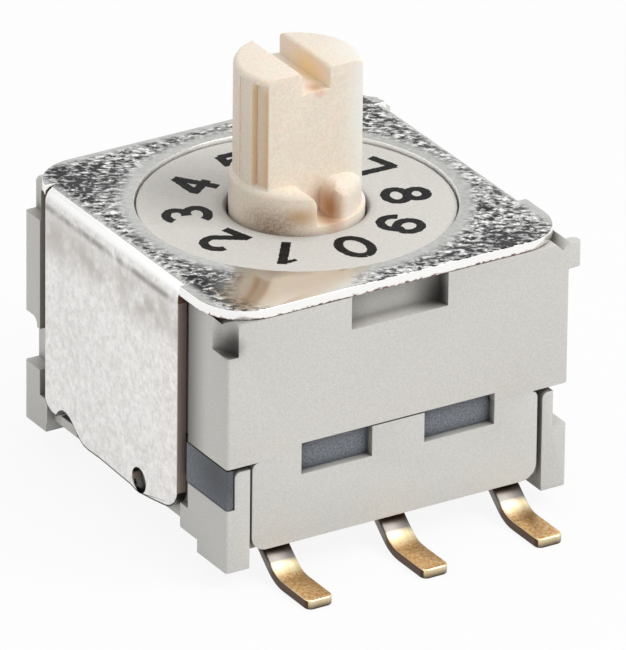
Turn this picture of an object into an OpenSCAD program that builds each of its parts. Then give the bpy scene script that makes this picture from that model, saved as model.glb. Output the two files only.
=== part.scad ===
// Ten-position rotary dip switch for surface mounting, in millimetres.
// Origin on the board plane under the shaft axis, front towards -Y, shaft towards +Z.

/* [Body] */
// Width of the moulded body, side to side
body_w = 7.52; // [7.4:0.01:8]
// Depth of the moulded body, front to back
body_d = 7.54; // [7.4:0.01:8]
// Height of the base underside above the board
standoff = 0.69; // [0.62:0.01:0.8]
// Height of the base, from its underside to the seam under the housing
base_h = 1.86; // [1.75:0.01:2.1]
// Height of the housing above the seam
housing_h = 2.95; // [2.85:0.01:3.3]
// Radius of the body's upright edges
edge_r = 0.06; // [0.05:0.01:0.15]

/* [Cover] */
// Thickness of the folded sheet
sheet_t = 0.2; // [0.16:0.01:0.22]
// How far each leg stands proud of the body's side
leg_proud = 0.06; // [0.02:0.01:0.1]
// How far the sheet's front and back edges stay inside the body
cover_inset = 0.02; // [0:0.01:0.1]
// Corner radius of the top plate
cover_corner_r = 1; // [0.7:0.05:1.1]
// Radius of the round opening for the dial
dial_r = 3.09; // [2.8:0.01:3.15]
// Width of each side leg
leg_w = 4.96; // [4.6:0.01:5.2]
// How far the legs sit behind the middle of the body
leg_shift = 0.43; // [0.3:0.01:0.45]
// Height of the leg ends above the base underside
leg_lift = 0.12; // [0.1:0.01:0.2]
// Inside radius of the sheet's folds
fold_r = 0.1; // [0.05:0.01:0.12]
// Radius of the round hole near the foot of each leg
leg_hole_r = 0.25; // [0.15:0.01:0.26]

/* [Housing] */
// Height of the dial face above the underside of the cover
dial_step = 0.115; // [0.08:0.005:0.16]
// Width of the key recess at the top of the front and back faces
key_w = 2.12; // [1.8:0.02:2.4]
// Depth of the key recess into the face
key_in = 0.36; // [0.2:0.01:0.4]
// Height of the key recess
key_h = 0.68; // [0.5:0.01:0.8]
// Height of the interlocking nubs on the right and pockets on the left
lock_h = 0.5; // [0.4:0.01:0.6]
// How far the nubs stand out
nub_out = 0.28; // [0.2:0.01:0.3]
// Thickness of the roof above the mechanism
roof_t = 1.0; // [0.9:0.01:1.1]

/* [Shaft] */
// Radius of the shaft
shaft_r = 1.228; // [1.15:0.001:1.25]
// Height of the shaft above the dial face
shaft_h = 3.075; // [2.4:0.005:3.5]
// Distance of the shaft's flat from its axis
flat_off = 0.67; // [0.6:0.01:0.8]
// Height of the collar above the dial face
collar_h = 0.815; // [0.6:0.005:1]
// How far the flange and the left half of the collar stand out from the shaft
flange_step = 0.072; // [0.05:0.001:0.12]
// Width of the screwdriver slot
slot_w = 0.62; // [0.5:0.01:0.7]
// Depth of the screwdriver slot
slot_deep = 0.45; // [0.35:0.01:0.6]
// Width of the pointer notch in the collar
pointer_w = 0.42; // [0.35:0.01:0.5]

/* [Rotor] */
// Number of switch positions
positions = 10; // [8:1:12]
// Radius of the detent drum
drum_r = 2.3; // [2.2:0.01:2.35]
// Thickness of the wiper's spring sheet
wiper_t = 0.1; // [0.08:0.01:0.12]
// Thickness of the detent spring
spring_t = 0.12; // [0.1:0.01:0.14]
// Height of the detent spring's strip
spring_h = 0.85; // [0.7:0.01:0.9]
// Section radius of the shaft seal
ring_r = 0.26; // [0.22:0.01:0.27]

/* [Base] */
// Distance from the body's left side to the end of the front and back walls
end_left = 0.56; // [0.56:0.005:0.6]
// Distance from the body's right side to the end of the front and back walls
end_right = 0.67; // [0.56:0.005:0.7]
// Width of each contact window
window_w = 1.555; // [1.4:0.005:1.6]
// Width of the post between the two windows
post_w = 1.15; // [1:0.01:1.2]
// Height of the window sills under the seam
sill_drop = 0.48; // [0.4:0.01:0.55]
// Thickness of the front and back walls
wall_t = 0.17; // [0.14:0.01:0.2]
// Thickness of the floor
floor_t = 0.99; // [0.9:0.01:1.05]
// How far the front corner pads reach below the base underside
front_pad_drop = 0.31; // [0.2:0.01:0.35]
// How far the back corner pads reach below the base underside
back_pad_drop = 0.23; // [0.2:0.01:0.35]

/* [Terminals] */
// Distance between neighbouring terminals
pin_pitch = 2.54; // [2.5:0.01:2.56]
// Width of a terminal
pin_w = 0.58; // [0.5:0.01:0.7]
// Thickness of a terminal
pin_t = 0.2; // [0.15:0.01:0.22]
// Distance from the body's face to the bend onto the board
pin_reach = 0.235; // [0.15:0.005:0.35]
// Length of the foot on the board
foot_len = 1.2; // [0.9:0.01:1.4]
// Slope of a terminal between the base and its foot
pin_slope = 39; // [35:1:42]
// Radius of a terminal's bend onto the board, along its middle
foot_bend = 0.8; // [0.4:0.05:0.9]

/* [Hidden] */
$fn = 64;

// Clearances: seated pieces, running faces, the journal, the dial in its opening; overshoot of cuts, bite of joins
seat_gap = 0.02;
run_gap = 0.03;
journal_gap = 0.04;
dial_gap = 0.045;
over = 1;
bite = 0.1;
arc_steps = 6;

// Levels above the board
seam_z = standoff + base_h;
top_z = seam_z + housing_h;
dial_z = top_z + dial_step;
shaft_z = dial_z + shaft_h;
collar_z = dial_z + collar_h;
roof_z = top_z - roof_t;
floor_z = standoff + floor_t;
leg_z = standoff + leg_lift;
sill_z = seam_z - sill_drop;

// Sides of the body, and the faces that the legs lie against
side_x = body_w / 2;
face_y = body_d / 2;
leg_x = side_x + leg_proud;
flank_x = leg_x - sheet_t - seat_gap;
leg_front = leg_shift - leg_w / 2;
leg_back = leg_shift + leg_w / 2;
column_gap = 0.3;
cover_w = 2 * leg_x;
cover_d = body_d - 2 * cover_inset;
relief_w = 0.04;
fold_overlap = 0.8;

// Hole at the foot of a leg, from the leg's middle and above its end
leg_hole_y = -1.07;
leg_hole_rise = 0.2;

// Foot of a leg from back to front: distance behind the leg's middle, rise above its end.
// Back corner, arch over the base's catch, bulge under the hole, rounded front corner.
foot_path = [[2.5, 0.42], [2.36, 0.26], [2.2, 0.2], [2.06, 0.2], [1.98, 0.31], [1.83, 0.4], [1.68, 0.41],
    [1.53, 0.36], [1.41, 0.28], [1.33, 0.2], [1.15, 0.08], [1.03, 0.02], [0.84, 0], [0.39, 0.01], [-0.36, -0.02],
    [-0.74, -0.03], [-0.96, -0.07], [-1.11, -0.06], [-1.49, -0.01], [-1.86, 0.05], [-2.08, 0.09], [-2.23, 0.15],
    [-2.38, 0.27], [-2.47, 0.43], [-2.5, 0.6]];
catch_y = leg_shift + 1.4;
catch_len = 0.6;
catch_h = 0.19;
catch_rise = 0.03;
catch_in = 0.08;

// Key nubs and pockets at the corners
nub_r = 0.12;
nub_drop = 0.06;
front_nub = 0.28;
back_nub = 0.66;
pocket_drop = 0.15;
pocket_r = 0.41;
pocket_out = 0.13;
pocket_in = 0.18;

// Cut under the housing's back corners
lift_h = 0.195;
lift_len = 0.45;
lift_r = 0.15;

// Seam between the front wall's window head and the housing
window_rise = 0.17;
window_half = post_w / 2 + window_w;
head_gap = 0.03;
rib_deep = 0.38;

// Corner blocks beside the walls, each with an upright post behind a slit; a step beside the leg.
// The front left post is wide and short, for the carrier's ear stands behind it; the others run back to the leg.
wall_left = side_x - end_left;
wall_right = side_x - end_right;
slit_left = 0.05;
slit_right = 0.115;
corner_left = wall_left + slit_left;
corner_right = wall_right + slit_right;
corner_drop = 0.05;
corner_step_z = standoff + 0.46;
post_left_w = 0.33;
post_right_w = 0.235;
post_back_w = 0.205;
post_r = 0.12;
post_drop = 0.1;
ear_post_deep = 0.32;
front_pad_len = 1.07;
back_pad_len = 0.8;
foot_r = 0.33;
head_r = 0.15;

// Shaft, half collar, flange, journal and seal
flange_r = shaft_r + flange_step;
flange_z = dial_z + 0.12;
collar_lip_r = 0.16;
pointer_x = -0.105;
blend_r = 0.36;
bore_r = flange_r + journal_gap;
rim_r = 0.1;
gland_h = 2 * ring_r + 2 * run_gap;
gland_z = roof_z + gland_h;
ring_path_r = flange_r + ring_r + seat_gap / 2;
gland_r = ring_path_r + ring_r + seat_gap / 2;
flute_in = 0.167;
flute_y = 0.3;
flute_step = 0.032;
flute_step_y = 0.1;
flute_top = 0.14;
top_r = 0.13;
slot_lip_r = 0.09;
pointer_lip_r = 0.3;
pointer_edge_r = 0.24;

// Contact deck, rotor and wiper
deck_z = seam_z - 0.05;
arm_drop = 0.62;
drum_top_z = roof_z - run_gap;
drum_z = deck_z + arm_drop;
hub_r = 0.72;
pivot_r = 0.32;
pivot_h = 0.75;
arms = 3;
stud_r = 0.12;
stud_h = 0.08;
stud_ring_r = 1.05;
stud_turn = 30;
plate_r = 1.35;
arm_w = 0.42;
arm_bend = 0.09;
arm_root_r = 1.5;
arm_tip_r = 1.95;
arm_end_r = 2.12;
arm_end_rise = 0.15;
notch_r = 0.3;
notch_ring_r = drum_r + 0.15;

// Detent spring and its pocket behind the drum
spring_y = drum_r + 0.5;
spring_half = 2.85;
spring_z = drum_z + 0.18;
nose_half = 0.45;
nose_y = notch_ring_r - notch_r + run_gap;
spring_bend = 0.15;
pocket_half = 2.55;
pocket_back = spring_y + 0.2;
chamber_r = drum_r + 0.2;

// Carrier's ear at the front left: behind the short post, and how far back it reaches beside the leg
ear_y = face_y - ear_post_deep - seat_gap;
ear_gap = 0.2;

// Terminal strip
pad_u = 1.2;
riser_u = face_y - 0.72;
fold_u = face_y + pin_reach;
tip_u = fold_u + foot_len;
slope_z = pin_t / 2 + (fold_u - riser_u) * tan(pin_slope);
pin_bend = pin_t / 2 + 0.06;
arm_reach = 1.25;
toe_r = 0.14;

function unit(v) = v / norm(v);
function left_of(v) = [-v.y, v.x];
function turned(v, a) = [v.x * cos(a) - v.y * sin(a), v.x * sin(a) + v.y * cos(a)];
function reversed(list) = [for (i = [len(list) - 1:-1:0]) list[i]];

// Arc that rounds one corner of a path, shifted sideways by s
function corner_arc(before, at, after, r, s) = let(
    a = unit(at - before),
    b = unit(after - at),
    side = sign(a.x * b.y - a.y * b.x),
    angle = acos(a * b),
    centre = at - a * r * tan(angle / 2) + left_of(a) * side * r)
    [for (k = [0:arc_steps]) centre - turned(left_of(a), side * angle * k / arc_steps) * (side * r - s)];

// One edge of a bent strip that follows a path; r is the radius of all corners, or a list of radii
function strip_edge(path, r, s) = let(last = len(path) - 1) [
    path[0] + left_of(unit(path[1] - path[0])) * s,
    for (i = [1:last - 1])
        each corner_arc(path[i - 1], path[i], path[i + 1], is_list(r) ? r[i - 1] : r, s),
    path[last] + left_of(unit(path[last] - path[last - 1])) * s];

// Section of a strip of thickness t, bent along a path with corners of radius r
module bent_strip(path, r, t) {
    polygon(concat(strip_edge(path, r, t / 2), reversed(strip_edge(path, r, -t / 2))));
}

module rounded_rect(w, d, r) {
    square([w - 2 * r, d], center = true);
    square([w, d - 2 * r], center = true);
    for (x = [-1, 1], y = [-1, 1])
        translate([x * (w / 2 - r), y * (d / 2 - r)]) circle(r);
}

// Outline drawn in the XZ plane, given depth along Y from y0 back to y1
module along_y(y0, y1) {
    translate([0, y1, 0]) rotate([90, 0, 0]) linear_extrude(y1 - y0) children();
}

// Outline drawn in the YZ plane, given width along X from x0 to x1
module along_x(x0, x1) {
    translate([x0, 0, 0]) rotate([90, 0, 90]) linear_extrude(x1 - x0) children();
}

// Box between two corners
module span(from, to) {
    translate(from) cube(to - from);
}

module both_sides() {
    children();
    mirror([1, 0, 0]) children();
}

module front_and_back() {
    children();
    mirror([0, 1, 0]) children();
}

// Round post with a rounded top edge
module round_post(r, h, edge) {
    rotate_extrude() {
        square([r, h - edge]);
        square([r - edge, h]);
        translate([r - edge, h - edge]) circle(edge);
    }
}

// Section of a slot cut down from the level 0, its upper edges rounded
module lipped_slot(w, deep, r) {
    translate([-w / 2, -deep]) square([w, deep + over]);
    difference() {
        translate([-w / 2 - r, -r]) square([w + 2 * r, r + over]);
        for (side = [-1, 1])
            translate([side * (w / 2 + r), -r]) circle(r);
    }
}

// One leg of the cover on the right side, with its fold
module cover_leg() {
    mid_z = top_z + sheet_t / 2;
    mid_x = leg_x - sheet_t / 2;
    difference() {
        along_y(leg_front, leg_back)
            bent_strip([[mid_x - fold_overlap, mid_z], [mid_x, mid_z], [mid_x, leg_z - bite]],
                fold_r + sheet_t / 2, sheet_t);
        along_x(leg_x - over / 2, leg_x + over) leg_foot_cuts();
    }
}

// Cuts at the foot of a leg: its outline, and its hole
module leg_foot_cuts() {
    translate([leg_shift, leg_z]) {
        polygon(concat(
            [[-over - leg_w / 2, -over], [over + leg_w / 2, -over], [over + leg_w / 2, foot_path[0].y]],
            foot_path,
            [[-over - leg_w / 2, foot_path[len(foot_path) - 1].y]]));
        translate([leg_hole_y, leg_hole_rise]) circle(leg_hole_r);
    }
}

module cover() {
    color("silver") difference() {
        union() {
            translate([0, 0, top_z]) linear_extrude(sheet_t) difference() {
                rounded_rect(cover_w, cover_d, cover_corner_r);
                for (side = [-1, 1])
                    translate([side * leg_x, leg_shift])
                        square([2 * (fold_r + sheet_t), leg_w + 2 * relief_w], center = true);
            }
            both_sides() cover_leg();
        }
        translate([0, 0, top_z - over]) cylinder(r = dial_r, h = 2 * over);
    }
}

// Plan of the body with the flanks let in for the cover's legs
module body_plan() {
    difference() {
        rounded_rect(body_w, body_d, edge_r);
        for (side = [-1, 1])
            translate([side * (flank_x + over / 2), leg_shift])
                square([over, leg_w + 2 * column_gap], center = true);
    }
}

// Interlocking nub on the right side, its rounded end at the front or back face
module nub(length) {
    root = 2 * nub_out;
    translate([side_x + nub_out - root, -face_y, top_z - lock_h - nub_drop]) linear_extrude(lock_h) {
        square([root - nub_r, length]);
        translate([0, nub_r]) square([root, length - 2 * nub_r]);
        for (y = [nub_r, length - nub_r])
            translate([root - nub_r, y]) circle(nub_r);
    }
}

// Pocket in a left corner that takes the nub of a neighbour
module pocket() {
    translate([-side_x - pocket_out, -face_y + pocket_in, top_z - lock_h - pocket_drop])
        cylinder(r = pocket_r, h = over);
}

// Cut under the housing's back corners, rounded where it ends
module corner_lift() {
    along_x(corner_right, side_x + over) translate([face_y - lift_len, seam_z + lift_h]) difference() {
        translate([0, -lift_h - over]) square([lift_len + over, lift_h + over]);
        difference() {
            translate([-over, -lift_r]) square([over + lift_r, over]);
            translate([lift_r, -lift_r]) circle(lift_r);
        }
    }
}

// Hollow for the drum, with the detent spring's pocket and end slots behind it
module mechanism_chamber() {
    h = roof_z - seam_z + over;
    spring_top = spring_z + spring_h + run_gap;
    translate([0, 0, roof_z - h]) cylinder(r = chamber_r, h = h);
    span([-pocket_half, 0, seam_z - over], [pocket_half, pocket_back, spring_top]);
    span([-spring_half - seat_gap, spring_y - spring_t / 2 - seat_gap / 2, seam_z - over],
        [spring_half + seat_gap, spring_y + spring_t / 2 + seat_gap / 2, spring_top]);
}

// Hole for the shaft through the dial, its upper edge rounded
module dial_bore() {
    translate([0, 0, roof_z]) cylinder(r = bore_r, h = roof_t + over);
    translate([0, 0, dial_z - rim_r]) rotate_extrude() difference() {
        square([bore_r + rim_r, rim_r + over]);
        translate([bore_r + rim_r, 0]) circle(rim_r);
    }
}

module housing() {
    color("gainsboro") difference() {
        union() {
            translate([0, 0, seam_z]) linear_extrude(housing_h) body_plan();
            translate([0, 0, top_z - bite]) cylinder(r = dial_r - dial_gap, h = dial_step + bite);
            nub(front_nub);
            mirror([0, 1, 0]) nub(back_nub);
        }
        mechanism_chamber();
        translate([0, 0, roof_z - over]) cylinder(r = gland_r, h = gland_h + over);
        dial_bore();
        front_and_back() {
            span([-key_w / 2, -face_y - over, top_z - key_h], [key_w / 2, -face_y + key_in, top_z + over]);
            span([-window_half, -face_y - over, seam_z - over],
                [window_half, -face_y + wall_t + rib_deep + seat_gap, seam_z + window_rise]);
            pocket();
        }
        both_sides() {
            corner_lift();
            along_y(-face_y, face_y)
                translate([flank_x, top_z]) rotate(45) square(2 * fold_r, center = true);
        }
    }
}

// Right half of the front wall, from just over the middle to its rounded end
module half_wall(end) {
    translate([-bite, standoff + foot_r]) square([bite + end, base_h - foot_r - head_r]);
    translate([-bite, standoff]) square([bite + end - foot_r, foot_r + bite]);
    translate([-bite, seam_z - head_r - bite]) square([bite + end - head_r, head_r + bite]);
    translate([end - foot_r, standoff + foot_r]) circle(foot_r);
    translate([end - head_r, seam_z - head_r]) circle(head_r);
}

// Shape of the front wall: two halves, a middle post and two windows
module front_wall() {
    difference() {
        union() {
            mirror([1, 0]) half_wall(wall_left);
            half_wall(wall_right);
            translate([-post_w / 2, sill_z]) square([post_w, sill_drop + window_rise - head_gap]);
        }
        for (side = [-1, 1])
            translate([side * (post_w + window_w) / 2, sill_z + over / 2]) square([window_w, over], center = true);
    }
}

// Corner of the body's plan at the front right from x0 outwards, between two levels
module body_corner(x0, z0, z1, length) {
    translate([0, 0, z0]) linear_extrude(z1 - z0) intersection() {
        rounded_rect(body_w, body_d, edge_r);
        translate([x0, -face_y]) square([side_x - x0, length]);
    }
}

// Corner block at the front right from x0 outwards, stepped beside the leg, on its pad
module corner_block(x0, length, pad_len, pad_drop) {
    body_corner(x0, standoff - corner_drop, corner_step_z, length - seat_gap);
    body_corner(x0, standoff, floor_z, length - column_gap);
    body_corner(x0, standoff - pad_drop, standoff, pad_len);
}

// Upright post in the front wall's plane between x0 and x1, one upper edge rounded
module corner_post(x0, x1, length, post_z) {
    along_y(-face_y, -face_y + length) {
        translate([x0, standoff]) square([x1 - x0, post_z - post_r - standoff]);
        translate([x0 + post_r, standoff]) square([x1 - x0 - post_r, post_z - standoff]);
        translate([x0 + post_r, post_z - post_r]) circle(post_r);
    }
}

// The four corner blocks with their posts
module corners() {
    front = face_y + leg_front;
    back = face_y - leg_back;
    low_z = seam_z - post_drop;
    high_z = seam_z + lift_h - head_gap;
    corner_block(corner_right, front, front_pad_len, front_pad_drop);
    corner_post(corner_right, corner_right + post_right_w, front - seat_gap, low_z);
    mirror([1, 0, 0]) corner_block(corner_left, front, front_pad_len, front_pad_drop);
    corner_post(-corner_left - post_left_w, -corner_left, ear_post_deep, low_z);
    mirror([0, 1, 0]) {
        corner_block(corner_right, back, back_pad_len, back_pad_drop);
        mirror([1, 0, 0]) corner_block(corner_left, back, back_pad_len, back_pad_drop);
        for (post = [[back - seat_gap, low_z], [lift_len - lift_r - seat_gap, high_z]]) {
            corner_post(corner_right, corner_right + post_right_w, post[0], post[1]);
            corner_post(-corner_left - post_back_w, -corner_left, post[0], post[1]);
        }
    }
}

module base() {
    color("lightgray") difference() {
        union() {
            span([-flank_x, -face_y + wall_t, standoff], [flank_x, face_y - wall_t, floor_z]);
            front_and_back() along_y(-face_y, -face_y + wall_t) front_wall();
            corners();
            both_sides() span([flank_x - bite, catch_y, leg_z + catch_rise],
                [leg_x - catch_in, catch_y + catch_len, leg_z + catch_rise + catch_h]);
        }
        all_terminals();
    }
}

// Plan of the carrier: between the posts, behind the legs, and an ear round the short post at the front left
module carrier_plan() {
    left = seat_gap - side_x;
    translate([seat_gap - corner_left, wall_t - face_y])
        square([corner_left + corner_right - 2 * seat_gap, body_d - 2 * wall_t]);
    translate([0, leg_shift]) square([2 * flank_x, leg_w], center = true);
    translate([left, -ear_y]) square([side_x, ear_y + leg_front - ear_gap]);
    translate([left, seat_gap - face_y])
        square([side_x - corner_left - post_left_w - 2 * seat_gap, face_y - ear_y]);
}

// Contact carrier between the base and the housing, with its raised ribs in the windows
module contact_block() {
    color("slategray") difference() {
        union() {
            translate([0, 0, floor_z]) linear_extrude(deck_z - floor_z) carrier_plan();
            front_and_back() span([-window_half + seat_gap, -face_y + wall_t, floor_z],
                [window_half - seat_gap, -face_y + wall_t + rib_deep, seam_z + window_rise - head_gap]);
            translate([0, 0, deck_z - bite]) cylinder(r = pivot_r, h = pivot_h + bite);
        }
        all_terminals();
    }
}

// Outer cut that leaves the shaft's flat, and a ledge below it that blends into it
module flat_cut() {
    difference() {
        span([-2 * shaft_r, -2 * shaft_r, collar_z - blend_r], [2 * shaft_r, -flat_off, shaft_z + over]);
        round_post(shaft_r, collar_z, blend_r);
    }
}

// Pointer notch: an upright slot in the collar, its right-hand edge rounded over the whole wall
module pointer_notch() {
    wall_x = pointer_x + pointer_w / 2;
    reach = shaft_r - pointer_edge_r;
    edge_x = wall_x + pointer_edge_r;
    edge = [edge_x, -sqrt(reach * reach - edge_x * edge_x)];
    along_y(-2 * shaft_r, -flat_off)
        translate([pointer_x, collar_z]) lipped_slot(pointer_w, collar_z - flange_z, pointer_lip_r);
    translate([0, 0, flange_z]) linear_extrude(shaft_h) difference() {
        polygon([edge, [wall_x, edge.y], [wall_x, -2 * shaft_r], 2 * edge]);
        translate(edge) circle(pointer_edge_r);
    }
}

// Everything of the shaft above the drum that is round
module shaft_rounds() {
    translate([0, 0, drum_top_z - bite]) cylinder(r = flange_r, h = flange_z - drum_top_z + bite);
    difference() {
        round_post(shaft_r, shaft_z, top_r);
        translate([0, 0, -over]) cylinder(r = 2 * shaft_r, h = over + drum_z);
        flat_cut();
    }
    intersection() {
        round_post(flange_r, collar_z, collar_lip_r);
        span([-2 * shaft_r, -2 * shaft_r, flange_z - bite], [pointer_x - pointer_w / 2, 2 * shaft_r, shaft_z]);
    }
}

module shaft() {
    color("linen") difference() {
        union() {
            translate([0, 0, drum_z]) drum();
            translate([0, 0, deck_z + run_gap]) cylinder(r = hub_r, h = drum_z - deck_z);
            shaft_rounds();
            for (i = [1:arms])
                rotate(stud_turn + i * 360 / arms) translate([stud_ring_r, 0, drum_z - wiper_t - stud_h])
                    cylinder(r = stud_r, h = wiper_t + stud_h + bite);
        }
        translate([0, 0, deck_z - over]) cylinder(r = pivot_r + journal_gap, h = over + pivot_h + run_gap);
        pointer_notch();
        both_sides() {
            span([shaft_r - flute_in, -2 * shaft_r, collar_z], [2 * shaft_r, -flute_y, shaft_z - flute_top]);
            span([shaft_r - flute_step, -2 * shaft_r, collar_z], [2 * shaft_r, flute_step_y, shaft_z - flute_top]);
        }
        along_y(-2 * shaft_r, 2 * shaft_r) translate([0, shaft_z]) lipped_slot(slot_w, slot_deep, slot_lip_r);
    }
}

// Detent drum with one notch for each position
module drum() {
    difference() {
        cylinder(r = drum_r, h = drum_top_z - drum_z);
        for (i = [0:positions - 1])
            rotate(90 + i * 360 / positions) translate([notch_ring_r, 0, -over])
                cylinder(r = notch_r, h = housing_h + over);
    }
}

// Contact spring under the drum: a ring on three studs, with three arms bent down to the deck
module wiper() {
    mid_z = drum_z - wiper_t / 2;
    tip_z = deck_z + wiper_t / 2 + seat_gap;
    color("gold") difference() {
        union() {
            translate([0, 0, drum_z - wiper_t]) cylinder(r = plate_r, h = wiper_t);
            for (i = [1:arms])
                rotate([90, 0, stud_turn + (i + 0.5) * 360 / arms])
                    translate([0, 0, -arm_w / 2]) linear_extrude(arm_w)
                        bent_strip([[stud_ring_r, mid_z], [arm_root_r, mid_z], [arm_tip_r, tip_z],
                            [arm_end_r, tip_z + arm_end_rise]], arm_bend, wiper_t);
        }
        translate([0, 0, drum_z - over]) cylinder(r = hub_r + seat_gap, h = 2 * over);
        for (i = [1:arms])
            rotate(stud_turn + i * 360 / arms) translate([stud_ring_r, 0, drum_z - over])
                cylinder(r = stud_r + seat_gap, h = 2 * over);
    }
}

module o_ring() {
    color("dimgray") translate([0, 0, gland_z - ring_r - run_gap])
        rotate_extrude() translate([ring_path_r, 0]) circle(ring_r);
}

// Leaf spring across the back of the drum, its nose in the notch that is lined up with it
module detent_spring() {
    color("lightsteelblue") translate([0, 0, spring_z]) linear_extrude(spring_h)
        bent_strip([[-spring_half, spring_y], [-nose_half, spring_y], [0, nose_y], [nose_half, spring_y],
            [spring_half, spring_y]], spring_bend, spring_t);
}

// One terminal: foot on the board, slope, riser in the base, and contact pad in the deck
module terminal(row, col) {
    pad_z = deck_z - pin_t / 2;
    path = [[pad_u, pad_z], [riser_u, pad_z], [riser_u, slope_z], [fold_u, pin_t / 2], [tip_u, pin_t / 2]];
    color("gold") mirror([0, max(row, 0), 0]) translate([col * pin_pitch, 0, 0]) {
        intersection() {
            rotate([90, 0, -90]) translate([0, 0, -pin_w / 2]) linear_extrude(pin_w)
                bent_strip(path, [pin_bend, pin_bend, foot_bend], pin_t);
            translate([0, -tip_u / 2, -over]) linear_extrude(top_z) rounded_rect(pin_w, tip_u, toe_r);
        }
        if (col != 0)
            translate([-col * arm_reach / 2, -pad_u - pin_w / 2, pad_z])
                cube([arm_reach, pin_w, pin_t], center = true);
    }
}

module all_terminals() {
    for (row = [-1, 1], col = [-1:1]) terminal(row, col);
}

cover();
housing();
base();
contact_block();
shaft();
wiper();
o_ring();
detent_spring();
terminal(-1, -1);  // terminal_front_left
terminal(-1, 0);  // terminal_front_middle
terminal(-1, 1);  // terminal_front_right
terminal(1, -1);  // terminal_back_left
terminal(1, 0);  // terminal_back_middle
terminal(1, 1);  // terminal_back_right
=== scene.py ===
"""Looks of a small rotary dip switch: materials, printed dial numbers, studio and camera."""

import math
import random

import bpy
from mathutils import Matrix, Vector


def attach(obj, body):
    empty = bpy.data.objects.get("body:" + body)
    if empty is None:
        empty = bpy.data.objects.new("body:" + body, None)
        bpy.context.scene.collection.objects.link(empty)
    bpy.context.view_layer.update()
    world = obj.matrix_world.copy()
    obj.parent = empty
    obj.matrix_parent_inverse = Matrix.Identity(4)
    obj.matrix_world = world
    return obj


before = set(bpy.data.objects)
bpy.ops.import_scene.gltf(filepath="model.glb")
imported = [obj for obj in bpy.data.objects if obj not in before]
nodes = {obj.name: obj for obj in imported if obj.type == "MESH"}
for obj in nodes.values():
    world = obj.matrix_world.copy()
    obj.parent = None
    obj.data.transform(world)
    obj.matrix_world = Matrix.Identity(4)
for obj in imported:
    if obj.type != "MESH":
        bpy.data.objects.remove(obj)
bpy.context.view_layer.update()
MM = 0.001


def reach_of(node):
    """How far a CAD node reaches to the right, to the back and upwards, in millimetres."""
    return [max(along) / MM for along in zip(*(vertex.co for vertex in nodes[node].data.vertices))]


# Sizes of the part that its looks follow, in millimetres
COVER_SIDE, COVER_BACK, COVER_TOP = reach_of("cover")
BODY_FACE, DIAL_FACE = reach_of("housing")[1:]
OPENING_R = 3.09
SHEET = 0.2
FOLD_R = 0.3
FLUTE_IN, FLUTE_FRONT, FLUTE_BACK = 1.061, -0.67, -0.3
FLUTE_FOOT, FLUTE_TOP = 6.45, 8.6

# The photograph's frame, in pixels, and the camera solved from it
IMAGE_W, IMAGE_H = 626, 650
FOCAL_PX = 12406
SENSOR_MM = 36
AZIMUTH, ELEVATION, ROLL = math.radians(-31.444), math.radians(25.977), math.radians(0.650)
CAMERA_DISTANCE = 236.6 * MM
AIM = Vector((0, 0, 2 * MM))
AIM_PX = (294.798, 375.803)
CLIP_NEAR, CLIP_FAR = 0.01, 10

# Sizes of the surfaces' patterns, in millimetres. The grain of the plastics and the rubber and the drawn
# lines of the terminals are finer on the real part, about 0.02 mm, and are drawn coarser so that they show
FLECK_LENGTH, FLECK_WIDTH = 0.14, 0.09
SHEET_MOTTLE = 0.13
BLOTCH = 0.45
MOULD_GRAIN = 0.04
FILLER_SPECK = 0.045
ACETAL_GRAIN = 0.05
RUBBER_GRAIN = 0.08
DRAWN_LINE, DRAWN_LENGTH = 0.03, 0.9
FOOT_REFLECTION_SPOT = 0.07
INK_WEAR = 0.07

# Heights of the surfaces' relief, in millimetres
ROLLING_RELIEF = 0.004
MOULD_RELIEF = 0.004
SATIN_RELIEF = 0.002

# Parts of a noise's range, nearly all of which lies between 0.3 and 0.7
SOFT_LOW, SOFT_HIGH = 0.3, 0.7
CRISP_LOW, CRISP_HIGH = 0.35, 0.65
PATCH_LOW, PATCH_HIGH = 0.3, 0.6
SPOT_LOW, SPOT_HIGH = 0.38, 0.6
WORN_LOW, WORN_HIGH = 0.5, 0.75


def srgb(hex_colour):
    """The linear colour of an sRGB hex value such as "a0b1c2"."""
    parts = [int(hex_colour[i:i + 2], 16) / 255 for i in (0, 2, 4)]
    return [c / 12.92 if c <= 0.04045 else ((c + 0.055) / 1.055) ** 2.4 for c in parts] + [1]


def feed(tree, node, inputs):
    """Sets a node's inputs, each to a value, to another node's socket, or to a node's first output in use."""
    for socket, value in inputs.items():
        if isinstance(value, bpy.types.Node):
            value = next(output for output in value.outputs if output.enabled)
        if isinstance(value, bpy.types.NodeSocket):
            tree.links.new(value, node.inputs[socket])
        else:
            node.inputs[socket].default_value = value


def add(tree, kind, inputs=None, **settings):
    """A new node with its settings and its inputs."""
    made = tree.nodes.new(kind)
    for name, value in settings.items():
        setattr(made, name, value)
    feed(tree, made, inputs or {})
    return made


def material(name, roughness, metallic=0):
    """A new material: its node tree, its shader, and the place on the part in millimetres."""
    made = bpy.data.materials.new(name)
    made.use_nodes = True
    tree = made.node_tree
    shader = tree.nodes["Principled BSDF"]
    feed(tree, shader, {"Roughness": roughness, "Metallic": metallic})
    place = add(tree, "ShaderNodeTexCoord").outputs["Object"]
    position = add(tree, "ShaderNodeVectorMath", {0: place, 1: (1 / MM,) * 3}, operation="MULTIPLY")
    return made, tree, shader, position


def hollows(tree, reach, open_sky, deep):
    """How far a point lies inside a hollow, from 0 in the open to 1, judged by what stands within reach."""
    sky = add(tree, "ShaderNodeAmbientOcclusion", {"Distance": reach * MM}, samples=16)
    return add(tree, "ShaderNodeMapRange", {"Value": sky.outputs["AO"], "From Min": deep,
                                            "From Max": open_sky, "To Min": 1, "To Max": 0})


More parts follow.
